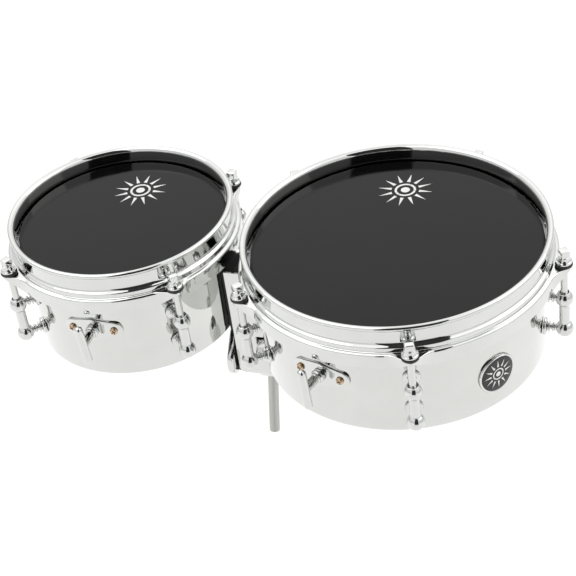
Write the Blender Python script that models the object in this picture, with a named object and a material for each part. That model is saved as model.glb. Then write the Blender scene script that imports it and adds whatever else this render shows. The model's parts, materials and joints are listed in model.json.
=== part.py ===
"""A pair of small chrome timbales, 8 inch and 6 inch, on one tilting centre bracket and a short support rod.

Frame: metres, +Z up. The origin is the centre of the support rod's lower end. +X runs from the small drum to
the large drum, and the player stands on the -Y side. The drums are tilted towards the player about the tilt
bolt, so everything above the bolt is modelled upright in the pair's own frame, which hangs on one empty.
"""

from math import cos, pi, radians, sin, sqrt

import bmesh
import bpy
from mathutils import Matrix, Vector

GAP = 0.0003                 # clearance between pieces that touch on the real object
SPIN = radians(7)            # turns rods about themselves, so that no edge of a cutter lies in a face

# Support rod and tilter
ROD_RADIUS = 0.004
ROD_REACH = 0.0684           # rod's lower end to the tilt bolt's axis
TILT = radians(17.3)         # drums towards the player
RIM_Z = 0.120                # drum datum, just under the hoop's top, above the tilt bolt's axis

# Drums
LARGE_X = 0.1052
SMALL_X = -0.1018
LARGE_R = 0.1016             # 8 inch shell
SMALL_R = 0.0762             # 6 inch shell
SHELL_WALL = 0.0012
SHELL_TOP = -0.0095          # bearing edge below the drum datum
SHELL_BOTTOM = -0.092
LARGE_LUGS = 5
SMALL_LUGS = 4
LARGE_FIRST_LUG = radians(216)
SMALL_FIRST_LUG = radians(225)
LUG_OFFSET = 0.0147          # tension rod's axis outside the shell

# Hoop, measured outwards from the shell's radius and up from the drum datum
HOOP_TOP = 0.0024
HOOP_INNER = 0.0021
BEAD_OUTER = 0.0070          # rolled bead round the hoop's top
WALL_OUTER = 0.0049
SKIRT_OUTER = 0.0104
EAR_REACH = 0.0196
EAR_FULL = 0.0075            # half width of an ear's flat land, along the rim
EAR_END = 0.0165             # where an ear has run out into the skirt
LAND_Z = -0.0166
SKIRT_BOTTOM = -0.029
EAR_BOTTOM = -0.0190          # underside of an ear's tip; its cheeks slope down from here to the skirt
HOOP_HOLE_R = 0.0029

# Tension rods and lugs
KEY_HALF = 0.0032
FLANGE_R = 0.0057
WASHER_R = 0.0061
WASHER_H = 0.0020
THREAD_R = 0.0025
THREAD_END = -0.064
BALL_R = 0.0062
TUBE_R = 0.0038
UPPER_BALL = -0.045
LOWER_BALL = -0.0713
LUG_BORE_R = 0.0029

# Clamp on the front of each shell: plate, two screws, T-handle outside and an eye for a rod inside
CLAMP_Z = -0.0502
CLAMP_SCREW_SPAN = 0.0157
CLAMP_PLATE_T = 0.0016
HANDLE_BAR_OUT = 0.0190      # bar's axis outside the shell
HANDLE_BAR_HALF = 0.0165
HANDLE_BAR_R = 0.0030
EYE_BORE_R = 0.0055

# Badge
BADGE_Z = -0.0645
BADGE_ANGLE = radians(322.5)
BADGE_R = 0.0150

# Centre bracket, in the pair's frame with z from the tilt bolt's axis
BLOCK_HALF_Y = 0.011
BLOCK_TOP = 0.0805
BLOCK_BOTTOM = -0.015
BLOCK_LEFT = -0.0245
BLOCK_RIGHT = -0.0063
PLATE_LEFT = -0.0233
PLATE_T = 0.0015
HEAD_R = 0.0210
THUMB_T = 0.0052
BOLT_R = 0.004
MOUNT_BOLT_Z = (0.064, 0.039)        # bolts that hold the shells, above the tilt bolt
TIE_SCREW_X = -0.0150
TIE_SCREW_Z = (0.052, 0.021)


def clear_scene():
    for old in list(bpy.data.objects):
        bpy.data.objects.remove(old, do_unlink=True)


def principled(name, colour, roughness, metallic):
    material = bpy.data.materials.new(name)
    material.use_nodes = True
    shader = material.node_tree.nodes["Principled BSDF"]
    shader.inputs["Base Color"].default_value = (*colour, 1)
    shader.inputs["Roughness"].default_value = roughness
    shader.inputs["Metallic"].default_value = metallic
    return material


def make_materials():
    return {
        "chrome": principled("chrome", (0.78, 0.78, 0.77), 0.08, 1.0),
        "steel": principled("steel", (0.55, 0.55, 0.53), 0.35, 1.0),
        "brass": principled("brass", (0.72, 0.52, 0.30), 0.25, 1.0),
        "black_film": principled("black_film", (0.035, 0.035, 0.037), 0.3, 0.0),
        "black_rubber": principled("black_rubber", (0.02, 0.02, 0.02), 0.6, 0.0),
        "aluminium": principled("aluminium", (0.7, 0.7, 0.7), 0.4, 1.0),
    }


def finish_mesh(bm, name):
    bmesh.ops.remove_doubles(bm, verts=bm.verts, dist=1e-7)
    bmesh.ops.recalc_face_normals(bm, faces=bm.faces)
    mesh = bpy.data.meshes.new(name)
    bm.to_mesh(mesh)
    bm.free()
    mesh.shade_smooth()
    mesh.set_sharp_from_angle(angle=radians(35))
    return mesh


def loft(sections, name, closed_round=False):
    """Skins equal rings of points one after another; the ends are capped unless the loft closes on itself."""
    bm = bmesh.new()
    rings = [[bm.verts.new(point) for point in section] for section in sections]
    count = len(rings[0])
    steps = len(rings) if closed_round else len(rings) - 1
    for i in range(steps):
        here, there = rings[i], rings[(i + 1) % len(rings)]
        for j in range(count):
            k = (j + 1) % count
            bm.faces.new((here[j], here[k], there[k], there[j]))
    if not closed_round:
        bm.faces.new(rings[0])
        bm.faces.new(rings[-1])
    bmesh.ops.triangulate(bm, faces=[face for face in bm.faces if len(face.verts) > 4])
    return finish_mesh(bm, name)


def turned(profile, sides, name):
    """Turns a profile of (radius, z) about Z. A profile that starts and ends on the axis makes a solid."""
    bm = bmesh.new()
    rings = []
    for radius, z in profile:
        if radius < 1e-7:
            rings.append([bm.verts.new((0, 0, z))])
        else:
            rings.append([bm.verts.new((radius * cos(2 * pi * i / sides), radius * sin(2 * pi * i / sides), z))
                          for i in range(sides)])
    on_axis = len(rings[0]) == 1 and len(rings[-1]) == 1
    pairs = list(zip(rings, rings[1:])) + ([] if on_axis else [(rings[-1], rings[0])])
    for here, there in pairs:
        for i in range(sides):
            k = (i + 1) % sides
            corners = [here[i % len(here)], here[k % len(here)], there[k % len(there)], there[i % len(there)]]
            corners = list(dict.fromkeys(corners))
            if len(corners) > 2:
                bm.faces.new(corners)
    return finish_mesh(bm, name)


def arc(centre_r, centre_z, radius, start, end, steps):
    """Profile points (r, z) on an arc, angles in degrees from +r towards +z."""
    return [(centre_r + radius * cos(radians(start + (end - start) * i / steps)),
             centre_z + radius * sin(radians(start + (end - start) * i / steps)))
            for i in range(steps + 1)]


def box_mesh(low, high, name, bevel=0.0, segments=2):
    bm = bmesh.new()
    bmesh.ops.create_cube(bm, size=1)
    for vert in bm.verts:
        for axis in range(3):
            vert.co[axis] = low[axis] if vert.co[axis] < 0 else high[axis]
    if bevel:
        bmesh.ops.bevel(bm, geom=bm.edges[:], offset=bevel, segments=segments, affect="EDGES")
    return finish_mesh(bm, name)


def rod_mesh(start, end, radius, sides, name):
    start, end = Vector(start), Vector(end)
    length = (end - start).length
    mesh = turned([(0, 0), (radius, 0), (radius, length), (0, length)], sides, name)
    turn = Vector((0, 0, 1)).rotation_difference(end - start).to_matrix().to_4x4()
    mesh.transform(Matrix.Translation(start) @ turn @ Matrix.Rotation(SPIN, 4, "Z"))
    return mesh


def combined(base, others, operation, name):
    """One mesh: base joined with, or cut by, the other meshes with exact Booleans."""
    body = bpy.data.objects.new(name, base)
    bpy.context.collection.objects.link(body)
    helpers = []
    for i, other in enumerate(others):
        helper = bpy.data.objects.new(f"{name}_helper_{i}", other)
        helper.hide_render = True
        helper.display_type = "WIRE"
        bpy.context.collection.objects.link(helper)
        modifier = body.modifiers.new(f"step_{i}", "BOOLEAN")
        modifier.operation = operation
        modifier.solver = "EXACT"
        modifier.object = helper
        helpers.append(helper)
    graph = bpy.context.evaluated_depsgraph_get()
    mesh = bpy.data.meshes.new_from_object(body.evaluated_get(graph))
    for helper in helpers + [body]:
        bpy.data.objects.remove(helper, do_unlink=True)
    mesh.materials.clear()
    mesh.shade_smooth()
    mesh.set_sharp_from_angle(angle=radians(35))
    return mesh


def place(name, mesh, material, parent, location=(0, 0, 0), turn=0.0):
    """A node: its own object on a parent empty, at a place and turned about Z."""
    if not mesh.materials:
        mesh.materials.append(material)
    node = bpy.data.objects.new(name, mesh)
    node.parent = parent
    node.location = location
    node.rotation_euler = (0, 0, turn)
    bpy.context.collection.objects.link(node)
    return node


def empty(name, location, rotation=(0, 0, 0), parent=None):
    axis = bpy.data.objects.new(name, None)
    axis.location = location
    axis.rotation_euler = rotation
    axis.parent = parent
    bpy.context.collection.objects.link(axis)
    return axis


def around(radius, angle, z):
    return Vector((radius * cos(angle), radius * sin(angle), z))


# ---- the drums ----

def shell_mesh(shell_r, cuts):
    inner = shell_r - SHELL_WALL
    profile = [(shell_r, SHELL_TOP - 0.0008), (shell_r - 0.0005, SHELL_TOP), (inner, SHELL_TOP - 0.0004),
               (inner, SHELL_BOTTOM), (shell_r, SHELL_BOTTOM)]
    body = turned(profile, 64, "shell")
    cutters = [rod_mesh(around(inner - 0.004, angle, z), around(shell_r + 0.004, angle, z), radius, 12, "cut")
               for angle, z, radius in cuts]
    return combined(body, cutters, "DIFFERENCE", "shell")


def head_mesh(shell_r):
    film = 0.00025
    top = SHELL_TOP + GAP + film
    outer = shell_r + 0.0007
    profile = [(0, top), (shell_r, top), (outer, top - 0.0007), (outer, -0.0164), (outer - film, -0.0164),
               (outer - film, top - film), (0, top - film)]
    return turned(profile, 60, "head")


def flesh_hoop_mesh(shell_r):
    low, high = shell_r + 0.0010, shell_r + 0.0042
    profile = [(low, -0.0150), (low + 0.0004, -0.0146), (high - 0.0009, -0.0146), (high, -0.0160),
               (high, -0.0216), (low, -0.0216)]
    return turned(profile, 40, "flesh_hoop")


def smooth_step(x, low, high):
    t = min(max((x - low) / (high - low), 0), 1)
    return t * t * (3 - 2 * t)


def hoop_section(shell_r, along):
    """Profile of the hoop at a distance along the rim from the nearest tension rod."""
    ear = 1 - smooth_step(along, 0.002, EAR_END)
    land = 1 - smooth_step(along, EAR_FULL, EAR_END)
    reach = SKIRT_OUTER + (EAR_REACH - SKIRT_OUTER) * ear
    bottom = min(EAR_BOTTOM, SKIRT_BOTTOM + reach - SKIRT_OUTER)
    wall = 0.0015
    shelf = LAND_Z
    lip = 0.0012
    profile = [(HOOP_INNER, HOOP_TOP - 0.0034), (HOOP_INNER + 0.0009, HOOP_TOP - 0.0011),
               (HOOP_INNER + 0.0024, HOOP_TOP), (BEAD_OUTER - lip, HOOP_TOP),
               (BEAD_OUTER, HOOP_TOP - lip), (BEAD_OUTER, HOOP_TOP - 0.0025), (WALL_OUTER, HOOP_TOP - 0.0042),
               (WALL_OUTER, -0.0100), (0.0073, -0.0134), (0.0075, shelf),
               (reach - 0.0012 + 0.0009 * land, shelf - 0.0005 * (1 - land)),
               (reach, shelf - 0.0018 + 0.0012 * land), (reach, bottom), (reach - wall, bottom),
               (reach - wall - 0.0004, shelf - 0.0018), (0.0056, shelf - 0.0020), (0.0048, -0.0158), (0.0046, -0.0142),
               (HOOP_INNER, -0.0142)]
    return [(shell_r + r, z) for r, z in profile]


def hoop_mesh(shell_r, lugs, first_lug):
    sector = 2 * pi / lugs
    half_arc = (shell_r + SKIRT_OUTER) * sector / 2
    near = [0, EAR_FULL - 0.001, EAR_FULL + 0.003, EAR_END]
    far = [EAR_END + (half_arc - EAR_END) * i / 3 for i in range(1, 3)]
    offsets = [-x for x in reversed(near[1:] + far)] + near + far + [half_arc]
    sections = []
    for lug in range(lugs):
        for offset in offsets:
            angle = first_lug + sector * lug + offset / (shell_r + SKIRT_OUTER)
            sections.append([around(r, angle, z) for r, z in hoop_section(shell_r, abs(offset))])
    holes = [rod_mesh(around(shell_r + LUG_OFFSET, first_lug + sector * lug, -0.03),
                      around(shell_r + LUG_OFFSET, first_lug + sector * lug, -0.01), HOOP_HOLE_R, 10, "hole")
             for lug in range(lugs)]
    return combined(loft(sections, "hoop", closed_round=True), holes, "DIFFERENCE", "hoop")


def lug_mesh():
    """Tube lug standing off the shell on two turned posts. Its origin is on the tension rod's axis, and the
    shell lies towards -X."""
    neck = 35
    profile = [(0, LOWER_BALL - BALL_R)]
    profile += arc(0, LOWER_BALL, BALL_R, -50, 90 - neck, 3)
    profile += [(TUBE_R, LOWER_BALL + 0.0072), (TUBE_R, UPPER_BALL - 0.0072)]
    profile += arc(0, UPPER_BALL, BALL_R, neck - 90, 60, 3)
    profile += [(LUG_BORE_R, UPPER_BALL + BALL_R - 0.0004), (LUG_BORE_R, THREAD_END - 0.002),
                (0, THREAD_END - 0.002)]
    tube = turned(profile, 8, "lug")
    end = LUG_OFFSET - GAP - 0.0001
    post = [(0, 0.0042), (0.0030, 0.0042), (0.0038, 0.0083), (0.0028, 0.0101), (0.0062, 0.0112), (0.0062, end),
            (0, end)]
    posts = []
    for z in (UPPER_BALL, LOWER_BALL):
        mesh = turned(post, 8, "post")
        mesh.transform(Matrix.Translation((0, 0, z)) @ Matrix.Rotation(-pi / 2, 4, "Y"))
        posts.append(mesh)
    return combined(tube, posts, "UNION", "lug")


def tension_rod_mesh():
    key_top, flange_top, flange_bottom = -0.0038, -0.0126, LAND_Z + GAP + WASHER_H + GAP
    profile = [(0, -0.0088), (0.0043, -0.0092), (0.0043, -0.0108), (FLANGE_R, flange_top),
               (FLANGE_R, flange_bottom), (THREAD_R, flange_bottom), (THREAD_R, THREAD_END), (0, THREAD_END)]
    key = box_mesh((-KEY_HALF, -KEY_HALF, -0.0100), (KEY_HALF, KEY_HALF, key_top), "key")
    return combined(turned(profile, 10, "rod"), [key], "UNION", "tension_rod")


def washer_mesh():
    low = LAND_Z + GAP
    high = low + WASHER_H
    profile = [(THREAD_R + GAP, low), (THREAD_R + GAP, high), (WASHER_R - 0.0004, high), (WASHER_R, high - 0.0004),
               (WASHER_R, low)]
    return turned(profile, 12, "washer")


def bent_plate(shell_r, inner, outer, stations, half_height, name, holes=()):
    """A plate that lies on the shell round angle 0, at height 0: its half height is given along the rim."""
    sections = []
    for along in stations:
        angle = along / shell_r
        half = half_height(along)
        sections.append([around(r, angle, z) for r, z in
                         ((inner, -half), (outer, -half), (outer, half), (inner, half))])
    plate = loft(sections, name)
    cutters = [rod_mesh(around(inner - 0.003, along / shell_r, 0), around(outer + 0.003, along / shell_r, 0),
                        radius, 12, "hole") for along, radius in holes]
    return combined(plate, cutters, "DIFFERENCE", name) if cutters else plate


def clamp_half_height(along):
    """Lozenge with round ends: tangent lines between a middle circle and a circle round each screw."""
    middle, end = 0.0085, 0.0052
    out = abs(along)
    if out <= CLAMP_SCREW_SPAN:
        return middle + (end - middle) * out / CLAMP_SCREW_SPAN
    return sqrt(max(end ** 2 - (out - CLAMP_SCREW_SPAN) ** 2, 0.0006 ** 2))


def clamp_plate_mesh(shell_r):
    edge = CLAMP_SCREW_SPAN + 0.0052
    stations = [-edge, -edge + 0.0008, -edge + 0.0025, -CLAMP_SCREW_SPAN, -0.010, -0.005, 0]
    stations += [-x for x in reversed(stations[:-1])]
    holes = [(-CLAMP_SCREW_SPAN, 0.0019), (0, 0.0022), (CLAMP_SCREW_SPAN, 0.0019)]
    inner = shell_r + GAP
    return bent_plate(shell_r, inner, inner + CLAMP_PLATE_T, stations, clamp_half_height, "clamp_plate", holes)


def clamp_screw_mesh(shell_r):
    """Pan-head screw through the plate and the shell, pointing in along -X, its origin on the drum's axis."""
    seat = shell_r + GAP + CLAMP_PLATE_T + GAP
    profile = [(0, shell_r - 0.0060), (0.0016, shell_r - 0.0060), (0.0016, seat), (0.0029, seat),
               (0.0028, seat + 0.0010), (0.0018, seat + 0.0018), (0, seat + 0.0020)]
    mesh = turned(profile, 12, "clamp_screw")
    mesh.transform(Matrix.Rotation(pi / 2, 4, "Y"))
    return mesh


def clamp_handle_mesh(shell_r):
    """T-handle on the radial axis +X: a flanged hub with a blind bore for the eye's stem, and a cross bar."""
    base = shell_r + GAP + CLAMP_PLATE_T + GAP
    bar = shell_r + HANDLE_BAR_OUT
    profile = [(0, bar), (0.0033, bar - 0.0006), (0.0033, base + 0.0046), (0.0050, base + 0.0036),
               (0.0050, base), (0.0021, base), (0.0021, base + 0.0082), (0, base + 0.0082)]
    hub = turned(profile, 14, "hub")
    hub.transform(Matrix.Rotation(pi / 2, 4, "Y"))
    round_end = arc(0, HANDLE_BAR_HALF - HANDLE_BAR_R, HANDLE_BAR_R, 0, 90, 3)
    half = [(r if r > 1e-6 else 0, z) for r, z in round_end]
    profile = [(r, -z) for r, z in reversed(half)] + half
    cross = turned(profile, 12, "bar")
    cross.transform(Matrix.Translation((bar, 0, 0)) @ Matrix.Rotation(radians(4), 4, "X"))
    return combined(hub, [cross], "UNION", "clamp_handle")


def clamp_eye_mesh(shell_r):
    """Eye inside the shell for a vertical rod, with a stem out along +X into the handle's hub."""
    wall = shell_r - SHELL_WALL
    eye = box_mesh((wall - 0.0220, -0.0095, -0.0075), (wall - 0.0030, 0.0095, 0.0075), "eye", bevel=0.002,
                   segments=1)
    stem = rod_mesh((wall - 0.006, 0, 0), (shell_r + 0.0080, 0, 0), 0.0018, 12, "stem")
    bore = rod_mesh((wall - 0.0130, 0, -0.02), (wall - 0.0130, 0, 0.02), EYE_BORE_R, 16, "bore")
    bored = combined(eye, [bore], "DIFFERENCE", "eye")
    return combined(bored, [stem], "UNION", "clamp_eye")


def badge_mesh(shell_r):
    stations = [BADGE_R * sin(pi / 2 * i / 6) for i in range(-6, 7)]
    inner = shell_r + GAP
    return bent_plate(shell_r, inner, inner + 0.0016, stations,
                      lambda along: max(sqrt(max(BADGE_R ** 2 - along ** 2, 0)), 0.0008), "badge")


def build_drum(name, pair, x, shell_r, lugs, first_lug, towards_bracket, shared, paint):
    """One drum. Its axis empty stands at the hoop's top, and every joint axis in it has an empty too."""
    axis = empty(f"{name}_axis", (x, 0, RIM_Z), parent=pair)
    sector = 2 * pi / lugs
    clamp_angle = first_lug + sector / 2
    screw_turn = CLAMP_SCREW_SPAN / shell_r
    cuts = [(clamp_angle + side * screw_turn, CLAMP_Z, 0.0019) for side in (-1, 1)]
    cuts += [(clamp_angle, CLAMP_Z, 0.0022)]
    cuts += [(towards_bracket, z - RIM_Z, 0.0028) for z in MOUNT_BOLT_Z]
    place(f"{name}_shell", shell_mesh(shell_r, cuts), paint["chrome"], axis)
    place(f"{name}_head", head_mesh(shell_r), paint["black_film"], axis)
    place(f"{name}_flesh_hoop", flesh_hoop_mesh(shell_r), paint["aluminium"], axis)
    place(f"{name}_hoop", hoop_mesh(shell_r, lugs, first_lug), paint["chrome"], axis)
    for lug in range(lugs):
        angle = first_lug + sector * lug
        rod_axis = empty(f"{name}_rod_axis_{lug + 1}", around(shell_r + LUG_OFFSET, angle, 0), (0, 0, angle), axis)
        place(f"{name}_lug_{lug + 1}", shared["lug"], paint["chrome"], rod_axis)
        place(f"{name}_tension_rod_{lug + 1}", shared["tension_rod"], paint["chrome"], rod_axis)
        place(f"{name}_rod_washer_{lug + 1}", shared["washer"], paint["black_rubber"], rod_axis)
    clamp = empty(f"{name}_clamp_axis", (0, 0, CLAMP_Z), (0, 0, clamp_angle), axis)
    place(f"{name}_clamp_plate", clamp_plate_mesh(shell_r), paint["chrome"], clamp)
    screw = clamp_screw_mesh(shell_r)
    for number, side in enumerate((-1, 1), start=1):
        place(f"{name}_clamp_screw_{number}", screw, paint["brass"], clamp, turn=side * screw_turn)
    place(f"{name}_clamp_handle", clamp_handle_mesh(shell_r), paint["chrome"], clamp)
    place(f"{name}_clamp_eye", clamp_eye_mesh(shell_r), paint["steel"], clamp)
    return axis


# ---- the centre bracket ----

def bracket_block_mesh():
    """Black moulded block: saddles for both shells above, and the tilter's body below."""
    shoulder = RIM_Z + SHELL_BOTTOM - 0.003
    upper = box_mesh((-0.032, -BLOCK_HALF_Y, shoulder), (0.011, BLOCK_HALF_Y, BLOCK_TOP), "upper")
    lower = box_mesh((BLOCK_LEFT, -BLOCK_HALF_Y, BLOCK_BOTTOM), (BLOCK_RIGHT, BLOCK_HALF_Y, shoulder + 0.004), "lower")
    joined = combined(upper, [lower], "UNION", "joined")
    cuts = []
    for x, shell_r in ((LARGE_X, LARGE_R), (SMALL_X, SMALL_R)):
        saddle = turned([(0, 0), (shell_r + GAP, 0), (shell_r + GAP, 0.1), (0, 0.1)], 144, "saddle")
        saddle.transform(Matrix.Translation((x, 0, 0.0)))
        cuts.append(saddle)
    for z in MOUNT_BOLT_Z:
        cuts.append(rod_mesh((-0.0085, 0, z), (0.02, 0, z), 0.0028, 12, "bolt"))
        cuts.append(rod_mesh((-0.04, 0, z), (-0.0138, 0, z), 0.0028, 12, "bolt"))
    for z in TIE_SCREW_Z:
        cuts.append(rod_mesh((TIE_SCREW_X, -0.03, z), (TIE_SCREW_X, 0.03, z), 0.0023, 12, "tie"))
    cuts.append(rod_mesh((-0.05, 0, 0), (0.02, 0, 0), BOLT_R + GAP, 16, "pivot"))
    return combined(joined, cuts, "DIFFERENCE", "bracket_block")


def bracket_plate_mesh(front):
    """Chrome plate with two round lower corners; the upper part is wider, across the gap between the shells."""
    corner, step = 0.004, RIM_Z + SHELL_BOTTOM - 0.006
    right = 0.0030
    outline = [(PLATE_LEFT, BLOCK_TOP - 0.0003), (right, BLOCK_TOP - 0.0003), (right, step), (BLOCK_RIGHT, step)]
    low = BLOCK_BOTTOM + 0.0005
    outline += [(BLOCK_RIGHT - 0.001 + 0.001 * cos(radians(a)), low + 0.001 + 0.001 * sin(radians(a)))
                for a in (0, -45, -90)]
    outline += [(PLATE_LEFT + corner + corner * cos(radians(a)), low + corner + corner * sin(radians(a)))
                for a in (-90, -120, -150, -180)]
    side = -1 if front else 1
    near = side * (BLOCK_HALF_Y + GAP)
    far = side * (BLOCK_HALF_Y + GAP + PLATE_T)
    plate = loft([[(x, near, z) for x, z in outline], [(x, far, z) for x, z in outline]], "plate")
    reach = 0.0008 if front else 0.01
    holes = [rod_mesh((TIE_SCREW_X, near - side * 0.002, z), (TIE_SCREW_X, near + side * reach, z), 0.0023, 12, "tie")
             for z in TIE_SCREW_Z]
    return combined(plate, holes, "DIFFERENCE", "plate")


def tie_screw_mesh():
    """Screw from the back plate through the block to the front plate, its origin at the block's middle."""
    seat = BLOCK_HALF_Y + GAP + PLATE_T + GAP
    profile = [(0, -BLOCK_HALF_Y - GAP - 0.0004), (0.0020, -BLOCK_HALF_Y - GAP - 0.0004), (0.0020, seat),
               (0.0038, seat), (0.0036, seat + 0.0014), (0.0024, seat + 0.0024), (0, seat + 0.0026)]
    mesh = turned(profile, 12, "tie_screw")
    mesh.transform(Matrix.Rotation(-pi / 2, 4, "X"))
    return mesh


def mount_bolt_mesh():
    """Bolt along -X whose head rests on the shell's inner wall, its origin under the head."""
    hexagon = turned([(0, 0), (0.0050, 0), (0.0050, 0.0034), (0, 0.0034)], 6, "hexagon")
    shank = rod_mesh((0, 0, -0.0125), (0, 0, 0.001), 0.0025, 12, "shank")
    mesh = combined(hexagon, [shank], "UNION", "mount_bolt")
    mesh.transform(Matrix.Rotation(pi / 2, 4, "Y"))
    return mesh


def disc_along_x(x0, x1, radius, bore, chamfer, sides, name):
    profile = [(bore, x0), (radius - chamfer, x0), (radius, x0 + chamfer), (radius, x1 - chamfer),
               (radius - chamfer, x1), (bore, x1)]
    mesh = turned(profile, sides, name)
    mesh.transform(Matrix.Rotation(pi / 2, 4, "Y"))
    return mesh


def tilt_bolt_mesh(left, right):
    """Bolt through the tilter, keyed into the thumb plate at the left."""
    profile = [(0, left), (0.0070, left), (0.0076, left + 0.0008), (0.0076, left + 0.0022), (BOLT_R, left + 0.0022),
               (BOLT_R, right - 0.0006), (BOLT_R - 0.0006, right), (0, right)]
    mesh = turned(profile, 20, "tilt_bolt")
    mesh.transform(Matrix.Rotation(pi / 2, 4, "Y"))
    return mesh


def thumb_outline(count):
    """The outline round three circles: the hub, a lobe above it and a wide lobe towards the player."""
    circles = ((0.0, 0.0, 0.0085), (0.0, 0.0115, 0.0084), (-0.0090, -0.0041, 0.0124))
    points = []
    for i in range(count):
        direction = 2 * pi * i / count
        reach = max((y * cos(direction) + z * sin(direction) + radius, (y, z, radius))
                    for y, z, radius in circles)[1]
        points.append((reach[0] + reach[2] * cos(direction), reach[1] + reach[2] * sin(direction)))
    return points


def thumb_plate_mesh(left, right):
    """Plate across the bolt, with a rounded rim, turned by hand to clamp the tilter."""
    outline = thumb_outline(30)
    soft = 0.0010

    def ring(x, shrink):
        return [(x, y * (1 - shrink), z * (1 - shrink)) for y, z in outline]

    plate = loft([ring(left, 0.05), ring(left + soft, 0), ring(right - soft, 0), ring(right, 0.05)], "thumb")
    bore = rod_mesh((left - 0.01, 0, 0), (right + 0.01, 0, 0), BOLT_R + GAP, 16, "bore")
    return combined(plate, [bore], "DIFFERENCE", "tilt_thumb_plate")


def tilt_nut_mesh(left):
    profile = [(0, left), (0.0078, left), (0.0078, left + 0.0050), (0.0066, left + 0.0062), (0, left + 0.0062)]
    nut = turned(profile, 6, "nut")
    nut.transform(Matrix.Rotation(pi / 2, 4, "Y"))
    bore = rod_mesh((left - 0.005, 0, 0), (left + 0.015, 0, 0), BOLT_R + GAP, 16, "bore")
    return combined(nut, [bore], "DIFFERENCE", "tilt_nut")


def rod_head_mesh(left, right):
    """Round tilter head: bored along X for the tilt bolt and from below for the support rod."""
    disc = disc_along_x(left, right, HEAD_R, BOLT_R + GAP, 0.0012, 28, "head")
    socket = rod_mesh((0, 0, -0.03), (0, 0, -0.0075), ROD_RADIUS + GAP, 16, "socket")
    return combined(disc, [socket], "DIFFERENCE", "rod_head")


def support_rod_mesh():
    profile = [(0, 0), (ROD_RADIUS - 0.0006, 0), (ROD_RADIUS, 0.0006), (ROD_RADIUS, ROD_REACH - 0.0078),
               (0, ROD_REACH - 0.0078)]
    return turned(profile, 24, "support_rod")


def build_bracket(pair, post, paint):
    head_left, head_right = BLOCK_RIGHT + GAP, 0.0056
    thumb_left, thumb_right = BLOCK_LEFT - GAP - THUMB_T, BLOCK_LEFT - GAP
    place("bracket_block", bracket_block_mesh(), paint["black_rubber"], pair)
    place("bracket_front_plate", bracket_plate_mesh(True), paint["chrome"], pair)
    place("bracket_back_plate", bracket_plate_mesh(False), paint["chrome"], pair)
    tie = tie_screw_mesh()
    bolt = mount_bolt_mesh()
    for number, z in enumerate(TIE_SCREW_Z, start=1):
        place(f"bracket_tie_screw_{number}", tie, paint["steel"], pair, (TIE_SCREW_X, 0, z))
    for number, z in enumerate(MOUNT_BOLT_Z, start=1):
        large_seat = LARGE_X - LARGE_R + SHELL_WALL + 0.0002 + GAP
        small_seat = SMALL_X + SMALL_R - SHELL_WALL - 0.0002 - GAP
        place(f"large_mount_bolt_{number}", bolt, paint["steel"], pair, (large_seat, 0, z))
        place(f"small_mount_bolt_{number}", bolt, paint["steel"], pair, (small_seat, 0, z), turn=pi)
    place("tilt_thumb_plate", thumb_plate_mesh(thumb_left, thumb_right), paint["chrome"], pair)
    bolt_left, bolt_right = thumb_left - GAP - 0.0022, head_right + 0.0085
    place("tilt_bolt", tilt_bolt_mesh(bolt_left, bolt_right), paint["chrome"], pair)
    place("tilt_nut", tilt_nut_mesh(head_right + GAP), paint["steel"], post, (0, 0, ROD_REACH))
    place("tilt_rod_head", rod_head_mesh(head_left, head_right), paint["chrome"], post, (0, 0, ROD_REACH))
    place("support_rod", support_rod_mesh(), paint["steel"], post)


def build_timbales():
    clear_scene()
    paint = make_materials()
    post = empty("post", (0, 0, 0))
    pair = empty("drum_pair", (0, 0, ROD_REACH), (TILT, 0, 0))
    shared = {"lug": lug_mesh(), "tension_rod": tension_rod_mesh(), "washer": washer_mesh()}
    large = build_drum("large", pair, LARGE_X, LARGE_R, LARGE_LUGS, LARGE_FIRST_LUG, pi, shared, paint)
    build_drum("small", pair, SMALL_X, SMALL_R, SMALL_LUGS, SMALL_FIRST_LUG, 0, shared, paint)
    badge_axis = empty("badge_axis", (0, 0, BADGE_Z), (0, 0, BADGE_ANGLE), large)
    place("large_badge", badge_mesh(LARGE_R), paint["black_film"], badge_axis)
    build_bracket(pair, post, paint)


build_timbales()
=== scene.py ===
"""Looks for the pair of small chrome timbales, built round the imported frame.

Everything above the tilt bolt is modelled upright in the pair's own frame (metres, origin on the tilt bolt's
axis, +Z along the tension rods) and then placed by one matrix, because the pair stands tilted.
"""

import json
from math import atan2, cos, pi, radians, sin, sqrt

import bmesh
import bpy
from mathutils import Matrix, Vector

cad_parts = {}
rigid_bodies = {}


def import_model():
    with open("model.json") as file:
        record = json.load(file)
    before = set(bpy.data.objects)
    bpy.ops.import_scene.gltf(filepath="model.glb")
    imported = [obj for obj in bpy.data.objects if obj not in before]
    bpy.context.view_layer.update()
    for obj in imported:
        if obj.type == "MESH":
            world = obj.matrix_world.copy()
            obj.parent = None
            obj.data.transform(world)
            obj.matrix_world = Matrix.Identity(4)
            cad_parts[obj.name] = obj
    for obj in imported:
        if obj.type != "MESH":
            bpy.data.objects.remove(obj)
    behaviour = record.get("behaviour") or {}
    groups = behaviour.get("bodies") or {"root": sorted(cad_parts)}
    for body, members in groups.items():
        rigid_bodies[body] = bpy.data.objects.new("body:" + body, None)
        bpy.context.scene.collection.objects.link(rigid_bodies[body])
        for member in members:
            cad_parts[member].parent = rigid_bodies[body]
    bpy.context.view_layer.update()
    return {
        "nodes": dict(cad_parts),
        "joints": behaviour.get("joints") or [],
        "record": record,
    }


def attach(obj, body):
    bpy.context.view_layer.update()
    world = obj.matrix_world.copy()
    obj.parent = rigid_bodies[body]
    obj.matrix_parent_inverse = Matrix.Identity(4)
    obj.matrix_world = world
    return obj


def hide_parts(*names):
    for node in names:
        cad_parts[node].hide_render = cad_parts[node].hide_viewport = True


for leftover in list(bpy.data.objects):
    bpy.data.objects.remove(leftover)
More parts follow.
